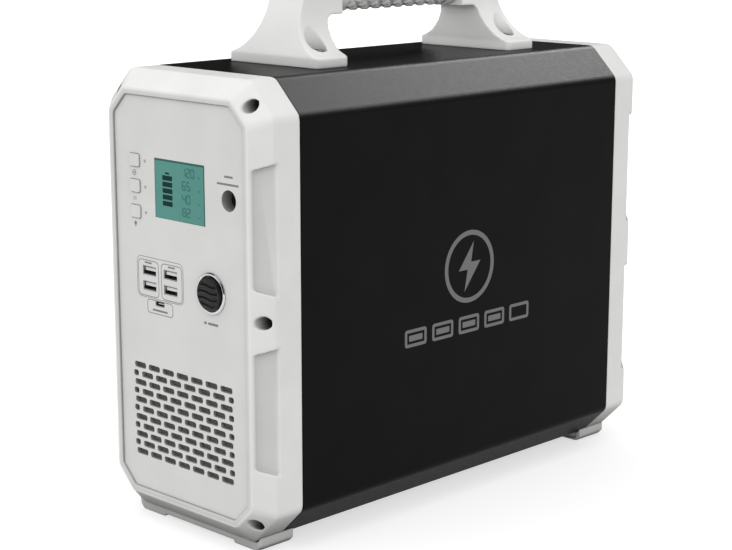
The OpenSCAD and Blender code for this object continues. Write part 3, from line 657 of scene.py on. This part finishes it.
class Face:
    """A flat face of the object, with a point on it, its right, its up and the way out of it."""

    def __init__(self, spot, right, out):
        self.spot, self.right, self.out = Vector(spot), Vector(right), Vector(out)
        self.up = Vector((0, 0, 1))

    def point(self, u, v, height):
        return self.spot + self.right * u + self.up * v + self.out * height

    def printed(self, name, shapes, material, height=0.04 * MM, sunk=0.05 * MM):
        """The shapes as a thin closed layer of ink."""
        form = bmesh.new()
        for outer, inner in shapes:
            layers = []
            for level in (height, -sunk):
                layers.append([[form.verts.new(self.point(u, v, level)) for u, v in line]
                               for line in (outer, inner) if line])
            count = len(outer)
            for i in range(count):
                j = (i + 1) % count
                for low_line, high_line in zip(layers[1], layers[0]):
                    form.faces.new((low_line[i], low_line[j], high_line[j], high_line[i]))
                if inner:
                    for rings in layers:
                        form.faces.new((rings[0][i], rings[0][j], rings[1][j], rings[1][i]))
            if not inner:
                for rings in layers:
                    form.faces.new(rings[0])
        bmesh.ops.recalc_face_normals(form, faces=form.faces)
        mesh = bpy.data.meshes.new(name)
        form.to_mesh(mesh)
        form.free()
        return add_piece(name, mesh, CASING, material)


front = Face((0, panel_face, 0), (1, 0, 0), (0, -1, 0))
rear = Face((0, rear_face, 0), (-1, 0, 0), (0, 1, 0))
right_side = Face((side_face, 0, 0), (0, 1, 0), (1, 0, 0))
left_side = Face((-side_face, 0, 0), (0, -1, 0), (-1, 0, 0))


def button_icons():
    line = 0.45 * MM
    shapes = []
    for node in ("ac_button", "dc_button", "light_button"):
        spot = centre_of(node)
        u, v = spot.x - 0.8 * MM, spot.z - 8.2 * MM
        if node == "ac_button":
            shapes.append(hoop(u, v, 1.9 * MM, line, 32))
            shapes += stroke([(u + x * MM, v + 0.7 * MM * math.sin(x * math.pi / 1.1)) for x in
                              (-1.1, -0.8, -0.55, -0.25, 0, 0.25, 0.55, 0.8, 1.1)], line)
        elif node == "dc_button":
            shapes += stroke([(u - 1.5 * MM, v + 0.6 * MM), (u + 1.5 * MM, v + 0.6 * MM)], line)
            for x in (-1.2, 0, 1.2):
                shapes += stroke([(u + (x - 0.25) * MM, v - 0.6 * MM), (u + (x + 0.25) * MM, v - 0.6 * MM)], line)
        else:
            shapes.append(disc(u, v + 0.4 * MM, 1.3 * MM))
            shapes.append(bar(u, v - 1.5 * MM, 1.2 * MM, 0.7 * MM))
    return shapes


def port_outlines():
    """Lines round the ports, with a short bar where a label would be."""
    ports_low, ports_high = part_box("usb_a_shells")
    line = 0.5 * MM
    width, height, gap = 21 * MM, 24 * MM, 2.4 * MM
    middle_u, middle_v = (ports_low.x + ports_high.x) / 2, (ports_low.z + ports_high.z) / 2
    shapes = []
    for side in (-1, 1):
        u = middle_u + side * (width + gap) / 2
        shapes.append(outlined(u, middle_v, width, height, 3.2 * MM, line))
        shapes.append(bar(u, middle_v + height / 2 - 1.8 * MM, 7 * MM, 1.1 * MM))
    shapes.append(outlined(middle_u, middle_v + 0.6 * MM, 2 * width + gap + 2.4 * MM, height + 3 * MM, 4.2 * MM,
                           0.35 * MM))
    small = centre_of("usb_c_port")
    shapes.append(outlined(small.x, small.z - 2.6 * MM, 26 * MM, 9.2 * MM, 2.4 * MM, line))
    shapes.append(bar(small.x, small.z - 4.6 * MM, 15 * MM, 1.3 * MM))
    jack = centre_of("dc_input_jack")
    shapes.append(bar(jack.x, jack.z + 14.7 * MM, 8 * MM, 1.3 * MM))
    shapes.append(bar(jack.x - 0.8 * MM, jack.z + 10 * MM, 20 * MM, 1.3 * MM))
    socket = centre_of("socket_ring")
    shapes.append(bar(socket.x - 6.2 * MM, socket.z - 19.7 * MM, 2.6 * MM, 1.6 * MM))
    shapes.append(bar(socket.x + 1.2 * MM, socket.z - 19.7 * MM, 9.5 * MM, 1.6 * MM))
    return shapes


front.printed("front_marks", button_icons() + port_outlines(), PRINT_GREY)


def outlet_marks():
    low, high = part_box("ac_outlets")
    u, v = -(low.x + high.x) / 2, (low.z + high.z) / 2
    return [outlined(u, v, size_of("ac_outlets").x + 10 * MM, size_of("ac_outlets").z + 10 * MM, 5 * MM, 0.5 * MM),
            bar(u, high.z + 9 * MM, 22 * MM, 1.4 * MM)]


rear.printed("rear_marks", outlet_marks(), PRINT_GREY)


def emblem():
    """A plain ring with a bolt, over a bar of five equal blocks like a charge gauge."""
    v = sleeve_middle + 9 * MM
    radius, line = 25 * MM, 3.4 * MM
    bolt = [(4, 17), (-11, -2), (-2, -2), (-5, -17), (11, 3), (1.5, 3)]
    shapes = [hoop(0, v, radius, line, 96), ([(x * MM, v + y * MM) for x, y in bolt], None)]
    blocks, width, height, pitch = 5, 21 * MM, 12 * MM, 26.5 * MM
    bar_v = sleeve_middle - 31 * MM
    for block in range(blocks):
        u = (block - (blocks - 1) / 2) * pitch
        shapes.append(outlined(u, bar_v, width, height, 2 * MM, 2.2 * MM))
        if block < blocks - 1:
            shapes.append(bar(u, bar_v, width - 8 * MM, height - 8 * MM, 0.6 * MM))
    return shapes


right_side.printed("right_emblem", emblem(), EMBLEM_GREY)
left_side.printed("left_emblem", emblem(), EMBLEM_GREY)

# ---- the display ----------------------------------------------------------------------------

SEGMENTS = {"8": "abcdefg", "6": "acdefg", "2": "abdeg", "5": "acdfg", "0": "abcdef", "4": "bcfg", "1": "bc"}


def digit(figure, u, v, width, height, line):
    """One seven-segment figure."""
    half_w, half_h, gap = width / 2, height / 2, 0.62 * line
    spots = {"a": ((-half_w, half_h), (half_w, half_h)), "b": ((half_w, half_h), (half_w, 0)),
             "c": ((half_w, 0), (half_w, -half_h)), "d": ((-half_w, -half_h), (half_w, -half_h)),
             "e": ((-half_w, 0), (-half_w, -half_h)), "f": ((-half_w, half_h), (-half_w, 0)),
             "g": ((-half_w, 0), (half_w, 0))}
    shapes = []
    for segment in SEGMENTS[figure]:
        (u1, v1), (u2, v2) = spots[segment]
        inward_u, inward_v = math.copysign(gap, u2 - u1) * (u1 != u2), math.copysign(gap, v2 - v1) * (v1 != v2)
        shapes += stroke([(u + u1 + inward_u, v + v1 + inward_v), (u + u2 - inward_u, v + v2 - inward_v)], line)
    return shapes


def display():
    low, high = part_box("display_window")
    middle = (low + high) / 2
    glass = Face((middle.x, low.y, middle.z), (1, 0, 0), (0, -1, 0))
    width, height = high.x - low.x, high.z - low.z
    edge = 1.3 * MM
    glass.printed("display_border", [bar(0, height / 2 - edge / 2, width, edge, 0.05 * MM),
                                     bar(width / 2 - edge / 2, -edge / 2, edge, height - 1.05 * edge, 0.05 * MM)],
                  LCD_SHADE, 0.03 * MM)
    levels = 5
    pitch, bar_w, bar_h = 4.1 * MM, 9.7 * MM, 3.1 * MM
    bars_u = -12.2 * MM
    bars = [bar(bars_u, (level - (levels - 1) / 2) * pitch - 1 * MM, bar_w, bar_h, 0.4 * MM)
            for level in range(levels)]
    bars.append(bar(bars_u, levels / 2 * pitch, 4 * MM, 1.2 * MM, 0.3 * MM))
    glass.printed("display_bars", bars, LCD_DARK, 0.05 * MM)
    figures = []
    for row, text in enumerate(("120", "65", "40", "82")):
        v = (12.5 - 8.4 * row) * MM
        for place, figure in enumerate(text):
            figures += digit(figure, (4 + 4.2 * place) * MM, v, 3.0 * MM, 5.2 * MM, 0.9 * MM)
        figures += stroke([(17.6 * MM, v - 2 * MM), (19.4 * MM, v - 2 * MM)], 0.6 * MM)
    glass.printed("display_figures", figures, LCD_FAINT, 0.05 * MM)


display()

# ---- floor and light ------------------------------------------------------------------------


def floor():
    """A pale floor that glows more with distance, and half as much in shiny faces."""
    mesh = bpy.data.meshes.new("floor")
    reach = 6.0
    mesh.from_pydata([(-reach, -reach, 0), (reach, -reach, 0), (reach, reach, 0), (-reach, reach, 0)], [],
                     [(0, 1, 2, 3)])
    piece = bpy.data.objects.new("floor", mesh)
    bpy.context.collection.objects.link(piece)
    m = Nodes("floor", Roughness=0.7, Specular_IOR_Level=0.1, Emission_Color=(1, 1, 1, 1))
    m.colour(m.blend_colour(m.noise(0.5, 2), (0.49, 0.49, 0.49), (0.51, 0.51, 0.51)))
    far = m.add("ShaderNodeVectorMath")
    far.operation = "LENGTH"
    m.put(far.inputs[0], m.coordinates)
    glow = m.mapped(far.outputs["Value"], (0.2, 1.4), (0.63, 0.9))
    mirrored = m.mapped(m.add("ShaderNodeLightPath").outputs["Is Glossy Ray"], (0, 1), (1.0, 0.5))
    m.put(m.shader.inputs["Emission Strength"], m.maths("MULTIPLY", glow, mirrored))
    mesh.materials.append(m.material)
    piece.visible_diffuse = False


def softbox(name, spot, target, size, power, only_on=None):
    """A soft area light at spot, turned to target, that lights everything or only the pieces in only_on."""
    data = bpy.data.lights.new(name, "AREA")
    data.shape = "RECTANGLE"
    data.size, data.size_y = size
    data.energy = power
    piece = bpy.data.objects.new(name, data)
    piece.location = spot
    piece.rotation_euler = (Vector(target) - Vector(spot)).to_track_quat("-Z", "Y").to_euler()
    bpy.context.collection.objects.link(piece)
    if only_on:
        lit = bpy.data.collections.new(name + "_lights")
        for lit_piece in only_on:
            lit.objects.link(lit_piece)
        piece.light_linking.receiver_collection = lit


def world():
    """A white studio. Shiny faces see it as dim, as if black cloths hung round the set."""
    scene_world = bpy.data.worlds.new("studio")
    bpy.context.scene.world = scene_world
    scene_world.use_nodes = True
    tree = scene_world.node_tree
    background = tree.nodes["Background"]
    ray = tree.nodes.new("ShaderNodeLightPath")
    sky = tree.nodes.new("ShaderNodeTexCoord")
    height = tree.nodes.new("ShaderNodeSeparateXYZ")
    tree.links.new(sky.outputs["Generated"], height.inputs[0])
    share = tree.nodes.new("ShaderNodeMapRange")
    share.inputs["From Min"].default_value = -1
    tree.links.new(height.outputs["Z"], share.inputs["Value"])
    ramp = tree.nodes.new("ShaderNodeValToRGB")
    tree.links.new(share.outputs[0], ramp.inputs[0])
    levels = {0: 0.14, 0.2: 0.34, 0.35: 0.73, 0.5: 1.05, 1: 0.93}
    ramp.color_ramp.elements[0].position = 0
    ramp.color_ramp.elements[1].position = 1
    for position in list(levels)[1:-1]:
        ramp.color_ramp.elements.new(position)
    for element, level in zip(ramp.color_ramp.elements, levels.values()):
        element.color = (level, level, level, 1)
    strengths = {"Is Camera Ray": 1.1, "Is Diffuse Ray": ramp.outputs[0], "Is Glossy Ray": 0.03}
    total = None
    for kind, strength in strengths.items():
        part = tree.nodes.new("ShaderNodeMath")
        part.operation = "MULTIPLY_ADD"
        tree.links.new(ray.outputs[kind], part.inputs[0])
        if isinstance(strength, float):
            part.inputs[1].default_value = strength
        else:
            tree.links.new(strength, part.inputs[1])
        if total:
            tree.links.new(total, part.inputs[2])
        else:
            part.inputs[2].default_value = 0
        total = part.outputs[0]
    tree.links.new(total, background.inputs["Strength"])
    background.inputs["Color"].default_value = (1, 1, 1, 1)


floor()
world()
middle = (0, 0, 0.18)
softbox("top", (0.1, -0.9, 2.5), middle, (2.2, 2.2), 8)
softbox("front", (-0.8, -2.2, 1.3), middle, (1.5, 1.5), 7)
softbox("back", (0.25, 1.5, 1.6), (0, 0, 0.3), (1.8, 0.9), 82, only_on=[sleeve])
softbox("fill", (0.9, -1.6, 0.9), (0, 0.1, 0.33), (0.8, 0.8), 7, only_on=[rear_foot])
bpy.context.scene.view_settings.view_transform = "Standard"
